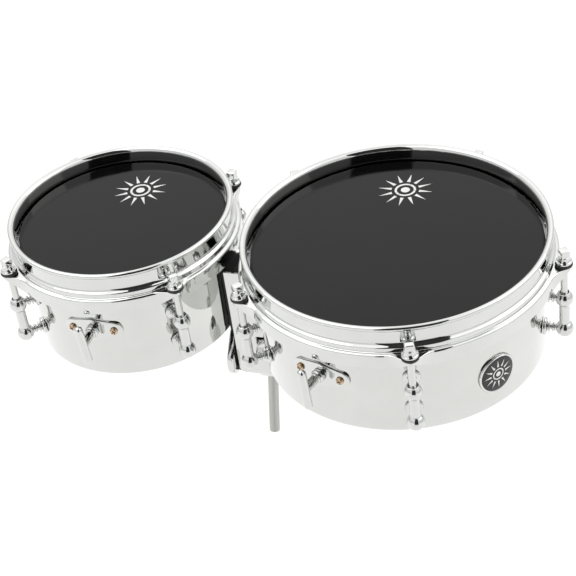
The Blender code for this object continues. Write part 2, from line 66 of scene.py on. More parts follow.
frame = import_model()
JOINTS = {joint["name"]: joint for joint in frame["joints"]}

GAP = 0.0003
SHELL_WALL = 0.0012
SHELL_TOP = -0.0095          # heights in a drum are measured from its datum, 2.4 mm under the hoop's top
SHELL_BOTTOM = -0.092
LUG_OFFSET = 0.0147
SKIRT_OUTER = 0.0105
EAR_END = 0.0172
LAND_Z = -0.0166
SKIRT_BOTTOM = -0.0284
EAR_BOTTOM = -0.0190
WASHER_H = 0.0020
UPPER_BALL = -0.045
LOWER_BALL = -0.0713
RIM_Z = 0.120
CLAMP_Z = -0.0502
CLAMP_SCREW_SPAN = 0.0157
HANDLE_BAR_OUT = 0.0190
BADGE_Z = -0.0645
BADGE_ANGLE = radians(322.5)
BADGE_R = 0.0150
FILM_TOP = SHELL_TOP + 0.00055
PLATE_OUT = 0.0022           # seat of the clamp's screws and handle, outside the shell
FLOOR_Z = -0.42
# Where the photograph was taken from, in the pair's own frame.
CAMERA_AT = (0.35995, -0.83816, 0.62960 + RIM_Z)
CAMERA_AZIMUTH, CAMERA_ELEVATION, CAMERA_ROLL = radians(-22.07), radians(37.28), radians(-8.48)
CAMERA_LENS = 97.23


# ---- where things are ----

def pair_matrix():
    """Puts the pair's own frame in the world: origin on the tilt axis, +Z along the tension rods."""
    up = Vector(JOINTS["large_rod_turn_1"]["axis"]).normalized()
    right = Vector((1, 0, 0))
    back = up.cross(right).normalized()
    matrix = Matrix((right, back, up)).transposed().to_4x4()
    matrix.translation = Vector(JOINTS["pair_tilt"]["pos_m"])
    return matrix


PAIR = pair_matrix()


def drum_facts(name, shell_r):
    """Centre, lug angles and clamp angle of a drum, from the joints of its tension rods."""
    places = []
    number = 1
    while f"{name}_rod_turn_{number}" in JOINTS:
        places.append(PAIR.inverted() @ Vector(JOINTS[f"{name}_rod_turn_{number}"]["pos_m"]))
        number += 1
    centre = sum(places, Vector()) / len(places)
    angles = [atan2(place.y - centre.y, place.x - centre.x) for place in places]
    frame_matrix = PAIR @ Matrix.Translation((centre.x, 0, RIM_Z))
    return {"name": name, "r": shell_r, "x": centre.x, "lugs": angles, "clamp": angles[0] + pi / len(places),
            "matrix": frame_matrix}


LARGE = drum_facts("large", 0.1016)
SMALL = drum_facts("small", 0.0762)


# ---- mesh tools ----

def finish_mesh(bm, name, angle=38):
    bmesh.ops.remove_doubles(bm, verts=bm.verts, dist=1e-7)
    bmesh.ops.recalc_face_normals(bm, faces=bm.faces)
    mesh = bpy.data.meshes.new(name)
    bm.to_mesh(mesh)
    bm.free()
    mesh.shade_smooth()
    mesh.set_sharp_from_angle(angle=radians(angle))
    return mesh


def loft(sections, name, closed_round=False, angle=38):
    bm = bmesh.new()
    rings = [[bm.verts.new(point) for point in section] for section in sections]
    count = len(rings[0])
    steps = len(rings) if closed_round else len(rings) - 1
    for i in range(steps):
        here, there = rings[i], rings[(i + 1) % len(rings)]
        for j in range(count):
            k = (j + 1) % count
            bm.faces.new((here[j], here[k], there[k], there[j]))
    if not closed_round:
        bm.faces.new(rings[0])
        bm.faces.new(rings[-1])
    return finish_mesh(bm, name, angle)


def turned(profile, sides, name, angle=38):
    """Turns (radius, z) points about Z. It is a solid if it starts and ends on the axis, else a ring."""
    bm = bmesh.new()
    rings = []
    for radius, z in profile:
        if radius < 1e-7:
            rings.append([bm.verts.new((0, 0, z))])
        else:
            rings.append([bm.verts.new(around(radius, 2 * pi * i / sides, z)) for i in range(sides)])
    on_axis = len(rings[0]) == 1 and len(rings[-1]) == 1
    pairs = list(zip(rings, rings[1:])) + ([] if on_axis else [(rings[-1], rings[0])])
    for here, there in pairs:
        for i in range(sides):
            k = (i + 1) % sides
            corners = [here[i % len(here)], here[k % len(here)], there[k % len(there)], there[i % len(there)]]
            corners = list(dict.fromkeys(corners))
            if len(corners) > 2:
                bm.faces.new(corners)
    return finish_mesh(bm, name, angle)


def rounded(points, steps=4, closed=True):
    """Rounds the corners of an outline. Each point is (a, b, radius); the result is (a, b) points, the same
    number for each corner whatever its radius, so that outlines of one kind can be skinned together."""
    result = []
    count = len(points)
    for i, (a, b, radius) in enumerate(points):
        here = Vector((a, b))
        if not closed and i in (0, count - 1):
            result.append((a, b))
            continue
        before = Vector(points[i - 1][:2]) - here
        after = Vector(points[(i + 1) % count][:2]) - here
        reach = min(radius, 0.49 * before.length, 0.49 * after.length)
        start, end = here + before.normalized() * reach, here + after.normalized() * reach
        for j in range(steps + 1):
            t = j / steps
            point = start.lerp(here, t).lerp(here.lerp(end, t), t)
            result.append((point.x, point.y))
    return result


def arc(centre_r, centre_z, radius, start, end, steps):
    return [(centre_r + radius * cos(radians(start + (end - start) * i / steps)),
             centre_z + radius * sin(radians(start + (end - start) * i / steps)))
            for i in range(steps + 1)]


def box_mesh(low, high, name, bevel, segments=3):
    bm = bmesh.new()
    bmesh.ops.create_cube(bm, size=1)
    for vert in bm.verts:
        for axis in range(3):
            vert.co[axis] = low[axis] if vert.co[axis] < 0 else high[axis]
    bmesh.ops.bevel(bm, geom=bm.edges[:], offset=bevel, segments=segments, affect="EDGES", profile=0.5)
    return finish_mesh(bm, name, 50)


def joined(meshes, name):
    """One mesh out of several that may cross each other."""
    bm = bmesh.new()
    for mesh in meshes:
        bm.from_mesh(mesh)
    result = bpy.data.meshes.new(name)
    bm.to_mesh(result)
    bm.free()
    return result


def turned_to(mesh, direction, location=(0, 0, 0)):
    """Turns a mesh that was made along +Z so that it lies along another direction."""
    turn = Vector((0, 0, 1)).rotation_difference(Vector(direction)).to_matrix().to_4x4()
    mesh.transform(Matrix.Translation(location) @ turn)
    return mesh


def around(radius, angle, z):
    return Vector((radius * cos(angle), radius * sin(angle), z))


def piece(name, mesh, matrix, body, material, slot, *nodes):
    obj = bpy.data.objects.new(name, mesh)
    bpy.context.scene.collection.objects.link(obj)
    obj.matrix_world = matrix
    if not mesh.materials:
        mesh.materials.append(material)
    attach(obj, body)
    if nodes:
        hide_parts(*nodes)
    return obj


# ---- materials ----

class Nodes:
    """A short way to write a node material."""

    def __init__(self, name):
        self.material = bpy.data.materials.new(name)
        self.material.use_nodes = True
        self.tree = self.material.node_tree
        self.shader = self.tree.nodes["Principled BSDF"]

    def add(self, kind, **settings):
        node = self.tree.nodes.new(kind)
        for key, value in settings.items():
            setattr(node, key, value)
        return node

    def link(self, source, target):
        self.tree.links.new(source, target)

    def coordinates(self, scale=(1, 1, 1)):
        place = self.add("ShaderNodeTexCoord")
        mapping = self.add("ShaderNodeMapping")
        mapping.inputs["Scale"].default_value = scale
        self.link(place.outputs["Object"], mapping.inputs["Vector"])
        return mapping.outputs["Vector"]

    def noise(self, vector, scale, detail=4.0, roughness=0.5):
        node = self.add("ShaderNodeTexNoise")
        node.inputs["Scale"].default_value = scale
        node.inputs["Detail"].default_value = detail
        node.inputs["Roughness"].default_value = roughness
        self.link(vector, node.inputs["Vector"])
        return node.outputs["Fac"]

    def spread(self, value, low, high, source_low=0.3, source_high=0.7):
        node = self.add("ShaderNodeMapRange")
        limits = {"From Min": source_low, "From Max": source_high, "To Min": low, "To Max": high}
        for name, number in limits.items():
            node.inputs[name].default_value = number
        self.link(value, node.inputs["Value"])
        return node.outputs["Result"]

    def mixed(self, value, dark, light):
        ramp = self.add("ShaderNodeValToRGB")
        ramp.color_ramp.elements[0].position, ramp.color_ramp.elements[1].position = 0.3, 0.7
        ramp.color_ramp.elements[0].color, ramp.color_ramp.elements[1].color = (*dark, 1), (*light, 1)
        self.link(value, ramp.inputs["Fac"])
        return ramp.outputs["Color"]

    def bump(self, height, strength, distance):
        node = self.add("ShaderNodeBump")
        node.inputs["Strength"].default_value = strength
        node.inputs["Distance"].default_value = distance
        self.link(height, node.inputs["Height"])
        self.link(node.outputs["Normal"], self.shader.inputs["Normal"])

    def to(self, value, socket):
        self.link(value, self.shader.inputs[socket])

    def fix(self, **values):
        for key, value in values.items():
            self.shader.inputs[key.replace("_", " ")].default_value = value


def chrome(name, dark, light, roughness, waves):
    """Plating: a mirror with faint cloudy marks, hairline wipe marks and slight waves of the metal below."""
    m = Nodes(name)
    vector = m.coordinates()
    cloud = m.noise(vector, 34, 5, 0.6)
    m.to(m.mixed(cloud, dark, light), "Base Color")
    wipe = m.noise(m.coordinates((60, 60, 900)), 3, 6, 0.7)
    blend = m.add("ShaderNodeMath", operation="MULTIPLY")
    m.link(cloud, blend.inputs[0])
    m.link(wipe, blend.inputs[1])
    m.to(m.spread(blend.outputs[0], roughness * 0.7, roughness * 1.6, 0.1, 0.45), "Roughness")
    m.fix(Metallic=1.0)
    m.bump(m.noise(vector, 22, 2, 0.4), waves, 0.0004)
    return m.material


def film():
    """Black drum film: a nearly smooth, glossy sheet with a fine orange peel and faint strike marks."""
    m = Nodes("drum_film")
    vector = m.coordinates()
    cloud = m.noise(vector, 14, 6, 0.6)
    m.to(m.mixed(cloud, (0.0020, 0.0020, 0.0021), (0.0034, 0.0033, 0.0034)), "Base Color")
    m.to(m.spread(cloud, 0.08, 0.13), "Roughness")
    m.fix(IOR=1.29)
    m.bump(m.noise(vector, 2600, 3, 0.6), 0.04, 0.00002)
    return m.material


def painted(name, dark, light, roughness, grain, depth, metallic=0.0, strength=0.3):
    m = Nodes(name)
    vector = m.coordinates()
    m.to(m.mixed(m.noise(vector, 60, 6, 0.65), dark, light), "Base Color")
    m.to(m.spread(m.noise(vector, 220, 4, 0.6), roughness * 0.8, roughness * 1.25), "Roughness")
    m.fix(Metallic=metallic)
    m.bump(m.noise(vector, grain, 4, 0.6), strength, depth)
    return m.material


def brushed(name, dark, light, roughness, stretch):
    """Metal with fine lines along its length: the noise is stretched along Z."""
    m = Nodes(name)
    lines = m.noise(m.coordinates(stretch), 4, 8, 0.75)
    m.to(m.mixed(lines, dark, light), "Base Color")
    m.to(m.spread(lines, roughness * 0.8, roughness * 1.3), "Roughness")
    m.fix(Metallic=1.0)
    m.bump(lines, 0.15, 0.00003)
    return m.material


PAINT = {
    "shell_chrome": chrome("shell_chrome", (0.665, 0.67, 0.65), (0.70, 0.705, 0.685), 0.045, 0.10),
    "fitting_chrome": chrome("fitting_chrome", (0.67, 0.675, 0.66), (0.72, 0.725, 0.71), 0.035, 0.06),
    "inner_chrome": chrome("inner_chrome", (0.52, 0.52, 0.515), (0.60, 0.60, 0.59), 0.14, 0.15),
    "drum_film": film(),
    "mark_white": painted("mark_white", (0.70, 0.70, 0.69), (0.80, 0.80, 0.79), 0.45, 900, 0.00002),
    # Black of the rubber washers, also used as painted shade for the cross recess in the screw heads.
    "washer_black_and_recess_shade": painted("washer_black_and_recess_shade", (0.010,) * 3, (0.022,) * 3, 0.42, 900, 0.00003),
    "block_rubber": painted("block_rubber", (0.008,) * 3, (0.020,) * 3, 0.55, 1400, 0.00005),
    "badge_black": painted("badge_black", (0.006, 0.006, 0.007), (0.014, 0.014, 0.015), 0.16, 500, 0.00001),
    "brass": painted("brass", (0.56, 0.40, 0.25), (0.74, 0.57, 0.40), 0.20, 700, 0.00002, 1.0, 0.15),
    "steel": brushed("steel", (0.42, 0.42, 0.41), (0.60, 0.60, 0.59), 0.32, (260, 260, 8)),
    "rod_steel": brushed("rod_steel", (0.40, 0.40, 0.375), (0.56, 0.56, 0.54), 0.36, (500, 500, 12)),
    "thread": brushed("thread", (0.42, 0.42, 0.41), (0.62, 0.62, 0.60), 0.26, (60, 60, 400)),
    "alloy": brushed("alloy", (0.55, 0.55, 0.55), (0.70, 0.70, 0.70), 0.35, (30, 30, 500)),
}


# ---- drums ----

def ear_reach(along):
    """How far the rim stands out from the shell, at a distance along the rim from a tension rod."""
    tip, corner = 0.0050, 0.0038
    if along <= corner:
        return LUG_OFFSET + sqrt(tip ** 2 - along ** 2)
    t = min((along - corner) / (EAR_END - corner), 1)
    start = LUG_OFFSET + sqrt(tip ** 2 - corner ** 2)
    slope = -corner / sqrt(tip ** 2 - corner ** 2) * (EAR_END - corner)
    return (start * (2 * t ** 3 - 3 * t ** 2 + 1) + slope * (t ** 3 - 2 * t ** 2 + t)
            + SKIRT_OUTER * (3 * t ** 2 - 2 * t ** 3))


def smooth_step(x, low, high):
    t = min(max((x - low) / (high - low), 0), 1)
    return t * t * (3 - 2 * t)


def hoop_section(along):
    """Rounded profile of the hoop, as (distance outside the shell, height above the drum's datum): a rolled
    bead, a thin wall, a step out over the flesh hoop, and a skirt that widens into an ear at each rod."""
    land = 1 - smooth_step(along, 0.0070, EAR_END)
    reach = ear_reach(along)
    bottom = min(EAR_BOTTOM, SKIRT_BOTTOM + (reach - SKIRT_OUTER) * 1.05)
    shelf = LAND_Z
    fall, lip = 0.0008 * (1 - land), 0.0009 + 0.0012 * (1 - land)
    bead = arc(0.00566, -0.00099, 0.0036, 180, 105, 9)[:-1] + arc(0.0052, 0.00074, 0.0018, 105, -80, 13)
    rest = [(0.0054, -0.00105, 0), (0.0049, -0.0013, 0.0003), (0.0049, -0.0116, 0.0017),
            (0.0076, -0.0132, 0.0007), (0.0076, shelf, 0.0004), (reach, shelf - fall, lip),
            (reach, bottom, 0.0005), (reach - 0.0015, bottom, 0.0005),
            (reach - 0.0019, shelf - fall - 0.0018, 0.0012), (0.0058, shelf - 0.0019, 0.0008),
            (0.0048, -0.0156, 0.0005), (0.0046, -0.0142, 0.0004), (0.0021, -0.0142, 0.0003),
            (0.0021, -0.0100, 0)]
    return bead + rounded(rest, 4, closed=False)


def hoop_mesh(drum):
    shell_r, lugs = drum["r"], len(drum["lugs"])
    sector = 2 * pi / lugs
    rim_r = shell_r + SKIRT_OUTER
    near = [EAR_END * (i / 26) for i in range(27)]
    half_arc = rim_r * sector / 2
    far_count = 16
    far = [EAR_END + (half_arc - EAR_END) * i / far_count for i in range(1, far_count + 1)]
    offsets = [-x for x in reversed(near[1:] + far[:-1])] + near + far
    sections = []
    for angle in drum["lugs"]:
        for offset in offsets:
            turn = angle + offset / rim_r
            sections.append([around(shell_r + r, turn, z) for r, z in hoop_section(abs(offset))])
    return loft(sections, f"{drum['name']}_hoop_skin", closed_round=True, angle=60)


def shell_mesh(drum):
    """The shell's wall, with a rounded bearing edge above and a softened edge below. The inside is slot 1."""
    shell_r = drum["r"]
    inner = shell_r - SHELL_WALL
    points = [(inner, SHELL_BOTTOM, 0.0005), (shell_r, SHELL_BOTTOM, 0.0005), (shell_r, SHELL_TOP, 0.0005),
              (inner, SHELL_TOP, 0.0005)]
    mesh = turned(rounded(points, 3), 256, f"{drum['name']}_shell_skin", 60)
    mesh.materials.append(PAINT["shell_chrome"])
    mesh.materials.append(PAINT["inner_chrome"])
    for polygon in mesh.polygons:
        middle = polygon.center
        if Vector((middle.x, middle.y, 0)).length < inner + 0.0002:
            polygon.material_index = 1
    return mesh


def head_mesh(drum):
    """The film: flat inside the bearing edge, then turned down round it into the flesh hoop."""
    r = drum["r"]
    top = FILM_TOP
    points = [(0, top, 0), (r - 0.0060, top, 0.0005), (r - 0.0006, top - 0.00002, 0.0007),
              (r + 0.0007, top - 0.0007, 0.0008), (r + 0.0008, -0.0164, 0.0001),
              (r + 0.00055, -0.0164, 0.0001), (r + 0.00045, top - 0.0010, 0.0006),
              (r - 0.0008, top - 0.00025, 0.0004), (0, top - 0.00025, 0)]
    return turned(rounded(points, 4, closed=False), 256, f"{drum['name']}_head_skin", 60)


def flesh_hoop_mesh(drum):
    low, high = drum["r"] + 0.0010, drum["r"] + 0.0042
    top, bottom = -0.0148, -0.0216
    points = [(low, bottom, 0.0004), (low, top, 0.0006), (high, top, 0.0012), (high, bottom, 0.0004)]
    return turned(rounded(points, 3), 200, f"{drum['name']}_flesh_hoop_skin", 60)


def lug_mesh():
    """Tube lug: two balls joined by a tube on the tension rod's axis, each on a turned post to the shell.
    Its origin is on the rod's axis, and the shell lies towards -X."""
    ball, tube, mouth = 0.0062, 0.0037, 0.0030
    profile = [(0, LOWER_BALL - ball)]
    profile += arc(0, LOWER_BALL, ball, -86, 53, 22)
    neck = [(tube + 0.0001, LOWER_BALL + 0.0050, 0), (tube - 0.0002, LOWER_BALL + 0.0055, 0.0003),
            (tube, LOWER_BALL + 0.0062, 0.0003), (tube, UPPER_BALL - 0.0062, 0.0003),
            (tube - 0.0002, UPPER_BALL - 0.0055, 0.0003), (tube + 0.0001, UPPER_BALL - 0.0050, 0)]
    profile += rounded(neck, 3, closed=False)
    profile += arc(0, UPPER_BALL, ball, -53, 48, 18)
    collar = UPPER_BALL + ball * sin(radians(48))
    profile += rounded([(0.0041, collar + 0.0001, 0), (0.0041, collar + 0.0010, 0.0003),
                        (mouth + 0.0004, collar + 0.0011, 0.0003), (mouth, collar + 0.0003, 0.0004),
                        (mouth, collar - 0.004, 0)], 3, closed=False)
    profile += [(0, collar - 0.004)]
    body = turned(profile, 40, "lug_body", 40)
    end = LUG_OFFSET - GAP - 0.0001
    bead = [(0.0025, 0.0040, 0.0002), (0.0023, 0.0066, 0.0004), (0.0034, 0.0069, 0.0005),
            (0.0034, 0.0083, 0.0005), (0.0021, 0.0087, 0.0004), (0.0023, 0.0098, 0.0003)]
    disc = [(0.0040, 0.0100, 0.0004), (0.0041, 0.0108, 0.0004), (0.0026, 0.0111, 0.0003)]
    foot = [(0.0028, 0.0117, 0.0003), (0.0057, 0.0124, 0.0006), (0.0062, 0.0134, 0.0005),
            (0.0062, end, 0.0002)]
    post = [(0, 0.0040, 0)] + bead + disc + foot + [(0, end, 0)]
    posts = []
    for z in (UPPER_BALL, LOWER_BALL):
        mesh = turned(rounded(post, 3, closed=False), 36, "post", 40)
        posts.append(turned_to(mesh, (-1, 0, 0), (0, 0, z)))
    return joined([body] + posts, "lug_skin")


def square_key(half, bottom, top):
    """Square key on +Z with softened edges and a low domed top."""
    bm = bmesh.new()
    bmesh.ops.create_cube(bm, size=1)
    for vert in bm.verts:
        vert.co = Vector((vert.co.x * 2 * half, vert.co.y * 2 * half, top if vert.co.z > 0 else bottom))
    bmesh.ops.bevel(bm, geom=bm.edges[:], offset=0.0007, segments=4, affect="EDGES", profile=0.5)
    return finish_mesh(bm, "key", 45)


def tension_rod_mesh():
    """Key head, bell-shaped flange and a threaded shank down into the lug. Slot 1 is the thread."""
    seat = LAND_Z + GAP + WASHER_H + GAP
    bell = [(0, -0.0084, 0), (0.0039, -0.0088, 0.0006), (0.0041, -0.0105, 0.0010), (0.0047, -0.0120, 0.0012),
            (0.0055, -0.0126, 0.0004), (0.0057, -0.0130, 0.0003), (0.0057, seat, 0.0004), (0.0024, seat, 0)]
    top = turned(rounded(bell, 4, closed=False) + [(0, seat)], 40, "bell", 40)
    key = square_key(0.0032, -0.0100, -0.0038)
    pitch, low, z = 0.0008, -0.0640, -0.0385
    smooth = turned([(0, seat - 0.0001), (0.0025, seat - 0.0001), (0.0025, z), (0, z)], 28, "smooth", 40)
    thread = [(0, z), (0.0025, z)]
    while z > low:
        thread += [(0.0025, z), (0.0021, z - pitch / 2)]
        z -= pitch
    thread += [(0.0021, low), (0, low)]
    shank = turned(thread, 20, "shank", 30)
    for mesh, slot in ((top, 0), (key, 0), (smooth, 0), (shank, 1)):
        for polygon in mesh.polygons:
            polygon.material_index = slot
    mesh = joined([top, key, smooth, shank], "tension_rod_skin")
    mesh.materials.append(PAINT["fitting_chrome"])
    mesh.materials.append(PAINT["thread"])
    return mesh


def washer_mesh():
    low = LAND_Z + GAP
    points = [(0.0029, low, 0.0003), (0.0029, low + WASHER_H, 0.0003), (0.0061, low + WASHER_H, 0.0007),
              (0.0061, low, 0.0006)]
    return turned(rounded(points, 3), 40, "washer_skin", 60)


def on_shell(shell_r, out, along, z):
    """Point on the shell round angle 0."""
    return around(shell_r + out, along / shell_r, z)


def curved_plate(shell_r, outline, low, high, soft, name):
    """Plate that lies on the shell: the outline is (along, z) points round its middle, its rim is rounded."""
    rings = []
    for out, shrink in ((low, 0.0), (high - soft, 0.0), (high - soft * 0.3, soft * 0.3), (high, soft)):
        ring = []
        for along, z in outline:
            length = max(sqrt(along * along + z * z), 1e-6)
            factor = (length - shrink) / length
            ring.append((along * factor, z * factor, out))
        rings.append(ring)
    steps = 5
    edge = rings[-1]
    for i in range(1, steps):
        rings.append([(along * (1 - i / steps), z * (1 - i / steps), out) for along, z, out in edge])
    sections = [[on_shell(shell_r, out, along, z) for along, z, out in ring] for ring in rings]
    return loft(sections, name, angle=40)


def clamp_outline(count=96):
    """Lozenge with round ends: the outline round a middle circle and a circle at each screw."""
    circles = ((0, 0.0093), (-CLAMP_SCREW_SPAN, 0.0066), (CLAMP_SCREW_SPAN, 0.0066))
    points = []
    for i in range(count):
        turn = 2 * pi * i / count
        _, centre, radius = max((centre * cos(turn) + radius, centre, radius) for centre, radius in circles)
        points.append((centre + radius * cos(turn), radius * sin(turn)))
    return points


def screw_mesh(seat, head_r, head_h):
    """Pan head with a cross recess, on +Z from its seat. The recess is drawn as a raised cross in slot 1,
    whose black is painted shade.
    """
    head = [(0, seat, 0), (head_r, seat, 0.0002), (head_r, seat + head_h * 0.45, 0.0005),
            (head_r * 0.72, seat + head_h * 0.92, 0.0008), (0, seat + head_h, 0)]
    dome = turned(rounded(head, 4, closed=False), 32, "screw_dome", 50)
    shade_cross_arms = []
    for turn in (0, pi / 2):
        shade_cross_arm = box_mesh((-head_r * 0.62, -head_r * 0.13, seat + head_h * 0.72), (head_r * 0.62, head_r * 0.13,
                       seat + head_h * 1.03), "recess", 0.00008, 1)
        shade_cross_arm.transform(Matrix.Rotation(turn + radians(24), 4, "Z"))
        shade_cross_arms.append(shade_cross_arm)
    for polygon in dome.polygons:
        polygon.material_index = 0
    # The cross stands just proud of the dome; its black in slot 1 is painted shade for the recess.
    for shade_cross_arm in shade_cross_arms:
        for polygon in shade_cross_arm.polygons:
            polygon.material_index = 1
    return joined([dome] + shade_cross_arms, "screw_skin")


def handle_mesh(shell_r):
    """T-handle on the radial axis +X: flanged hub with a step, and a round-ended cross bar."""
    base = shell_r + PLATE_OUT
    bar = shell_r + HANDLE_BAR_OUT
    hub = [(0, base, 0), (0.0050, base, 0.0003), (0.0050, base + 0.0026, 0.0006),
           (0.0040, base + 0.0036, 0.0004), (0.0040, base + 0.0048, 0.0004), (0.0033, base + 0.0052, 0.0003),
           (0.0033, bar, 0), (0, bar, 0)]
    shaft = turned_to(turned(rounded(hub, 4, closed=False), 36, "hub", 40), (1, 0, 0))
    half, radius = 0.0165, 0.0031
    ends = arc(0, half - radius, radius, 0, 90, 8)
    profile = [(max(r, 0), -z) for r, z in reversed(ends)] + [(max(r, 0), z) for r, z in ends]
    cross = turned(profile, 32, "cross", 60)
    cross.transform(Matrix.Translation((bar, 0, 0)) @ Matrix.Rotation(radians(4), 4, "X"))
    return joined([shaft, cross], "handle_skin")


def sunburst_outline(ray_count, inner, outer, width):
    """Flat rays of a plain sun, as closed (x, y) outlines."""
    shapes = []
    for i in range(ray_count):
        turn = 2 * pi * i / ray_count
        tip = (outer * cos(turn), outer * sin(turn))
        left = (inner * cos(turn + width), inner * sin(turn + width))
        right = (inner * cos(turn - width), inner * sin(turn - width))
        shapes.append((left, tip, right))
    return shapes


def sun_mesh(place, size, thickness, name):
    """A plain sun: a solid disc, a ring and rays. place(x, y, height) gives the surface it lies on."""
    bm = bmesh.new()

    def slab(outline):
        low = [bm.verts.new(place(x, y, 0)) for x, y in outline]
        high = [bm.verts.new(place(x, y, thickness)) for x, y in outline]
        bm.faces.new(low[::-1])
        bm.faces.new(high)
        for i in range(len(outline)):
            k = (i + 1) % len(outline)
            bm.faces.new((low[i], low[k], high[k], high[i]))

    for ray in sunburst_outline(12, size * 0.50, size * 0.98, 0.13):
        slab(ray)
    slab([(size * 0.16 * cos(2 * pi * i / 32), size * 0.16 * sin(2 * pi * i / 32)) for i in range(32)])
    count = 64
    for i in range(count):
        a, b = 2 * pi * i / count, 2 * pi * (i + 1) / count
        corners = ((0.30, a), (0.38, a), (0.38, b), (0.30, b))
        slab([(size * r * cos(t), size * r * sin(t)) for r, t in corners])
    return finish_mesh(bm, name, 30)


def eye_mesh(shell_r):
    """Eye inside the shell with a bore for a mounting rod, and a stem out along +X."""
    wall = shell_r - SHELL_WALL
    x, half_y, half_z, bore = wall - 0.0130, 0.0095, 0.0075, 0.0055
    count = 48
    outer, inner = [], []
    for i in range(count):
        turn = 2 * pi * i / count
        c, s = cos(turn), sin(turn)
        power = 0.42
        outer.append((x + 0.0005 + 0.0094 * abs(c) ** power * (1 if c > 0 else -1),
                      half_y * abs(s) ** power * (1 if s > 0 else -1)))
        inner.append((x + bore * c, bore * s))
    soft = 0.0008
    rings = []
    for outline, centre in ((outer, 1), (inner, -1)):
        levels = ((-half_z, soft), (-half_z + soft, 0), (half_z - soft, 0), (half_z, soft))
        if centre < 0:
            levels = levels[::-1]
        for z, shrink in levels:
            scale = 1 - centre * shrink / 0.009
            rings.append([((px - x) * scale + x, py * scale, z) for px, py in outline])
    eye = loft(rings, "eye", closed_round=True, angle=40)
    stem = turned([(0, 0), (0.0018, 0), (0.0018, 0.0130), (0, 0.0130)], 20, "stem")
    return joined([eye, turned_to(stem, (1, 0, 0), (wall - 0.0045, 0, 0))], "eye_skin")


def build_drum(drum, shared):
    name, r = drum["name"], drum["r"]
    place = drum["matrix"]
    body = "drum_pair"
    piece(f"{name}_shell_skin", shell_mesh(drum), place, body, None, "shell_chrome", f"{name}_shell")
    piece(f"{name}_head_skin", head_mesh(drum), place, body, PAINT["drum_film"], "drum_film", f"{name}_head")
    piece(f"{name}_flesh_hoop_skin", flesh_hoop_mesh(drum), place, body, PAINT["alloy"], "flesh_hoop_alloy",
          f"{name}_flesh_hoop")
    piece(f"{name}_hoop_skin", hoop_mesh(drum), place, body, PAINT["fitting_chrome"], "fitting_chrome",
          f"{name}_hoop")
    for number, angle in enumerate(drum["lugs"], start=1):
        station = place @ Matrix.Rotation(angle, 4, "Z")
        axis = station @ Matrix.Translation((r + LUG_OFFSET, 0, 0))
        piece(f"{name}_lug_skin_{number}", shared["lug"], axis, body, PAINT["fitting_chrome"],
              "fitting_chrome", f"{name}_lug_{number}")
        rod_body = f"{name}_rod_{number}"
        key_turn = Matrix.Rotation(shared["turns"][number], 4, "Z")
        piece(f"{name}_tension_rod_skin_{number}", shared["rod"], axis @ key_turn, rod_body, None,
              "fitting_chrome", f"{name}_tension_rod_{number}")
        piece(f"{name}_washer_skin_{number}", shared["washer"], axis, rod_body, PAINT["washer_black_and_recess_shade"],
              "rod_washer_rubber", f"{name}_rod_washer_{number}")
        for level, z in (("upper", UPPER_BALL), ("lower", LOWER_BALL)):
            inside = station @ Matrix.Translation((r - SHELL_WALL - 0.0001, 0, z))
            piece(f"{name}_lug_screw_{number}_{level}", shared["inner_screw"],
                  inside @ Matrix.Rotation(-pi / 2, 4, "Y"), body, PAINT["steel"], "fastener_steel")
    clamp = place @ Matrix.Rotation(drum["clamp"], 4, "Z") @ Matrix.Translation((0, 0, CLAMP_Z))
    plate = curved_plate(r, clamp_outline(), GAP, 0.0019, 0.0006, f"{name}_clamp_plate_skin")
    piece(f"{name}_clamp_plate_skin", plate, clamp, body, PAINT["fitting_chrome"], "fitting_chrome",
          f"{name}_clamp_plate")
    for number, side in enumerate((-1, 1), start=1):
        turn = Matrix.Rotation(side * CLAMP_SCREW_SPAN / r, 4, "Z")
        seat = turn @ Matrix.Translation((r + PLATE_OUT, 0, 0)) @ Matrix.Rotation(pi / 2, 4, "Y")
        piece(f"{name}_clamp_screw_skin_{number}", shared["brass_screw"], clamp @ seat, body, None,
              "screw_brass", f"{name}_clamp_screw_{number}")
    piece(f"{name}_clamp_handle_skin", handle_mesh(r), clamp, f"{name}_handle", PAINT["fitting_chrome"],
          "fitting_chrome", f"{name}_clamp_handle")
    piece(f"{name}_clamp_eye_skin", eye_mesh(r), clamp, f"{name}_eye", PAINT["steel"], "fastener_steel",
          f"{name}_clamp_eye")


def build_marks():
    """A plain white sun printed on each head, and a raised metal one on the badge."""
    for drum, x, y in ((LARGE, -0.0085, 0.0635), (SMALL, -0.0005, 0.0385)):
        mesh = sun_mesh(lambda a, b, h, x=x, y=y: Vector((x + a, y + b, FILM_TOP + 0.00001 + h)),
                        0.0205, 0.00004, f"{drum['name']}_head_print")
        piece(f"{drum['name']}_head_print", mesh, drum["matrix"], "drum_pair", PAINT["mark_white"],
              "drum_film")
    r = LARGE["r"]
    place = LARGE["matrix"] @ Matrix.Rotation(BADGE_ANGLE, 4, "Z") @ Matrix.Translation((0, 0, BADGE_Z))
    circle = [(BADGE_R * cos(2 * pi * i / 72), BADGE_R * sin(2 * pi * i / 72)) for i in range(72)]
    face = curved_plate(r, [(a * 0.90, z * 0.90) for a, z in circle], GAP, 0.0014, 0.0002, "badge_face")
    piece("large_badge_face", face, place, "drum_pair", PAINT["badge_black"], "badge_black", "large_badge")
    rim = ((1.0, GAP), (1.0, 0.0013), (0.975, 0.0018), (0.935, 0.0018), (0.90, 0.0014), (0.90, GAP))
    rings = [[on_shell(r, out, a * factor, z * factor) for a, z in circle] for factor, out in rim]
    piece("large_badge_rim", loft(rings, "badge_rim", closed_round=True, angle=50), place, "drum_pair",
          PAINT["fitting_chrome"], "fitting_chrome")
    sun = sun_mesh(lambda a, b, h: on_shell(r, 0.0014 + h, a, b), 0.0120, 0.0003, "badge_sun")
    piece("large_badge_sun", sun, place, "drum_pair", PAINT["fitting_chrome"], "fitting_chrome")


# ---- centre bracket ----

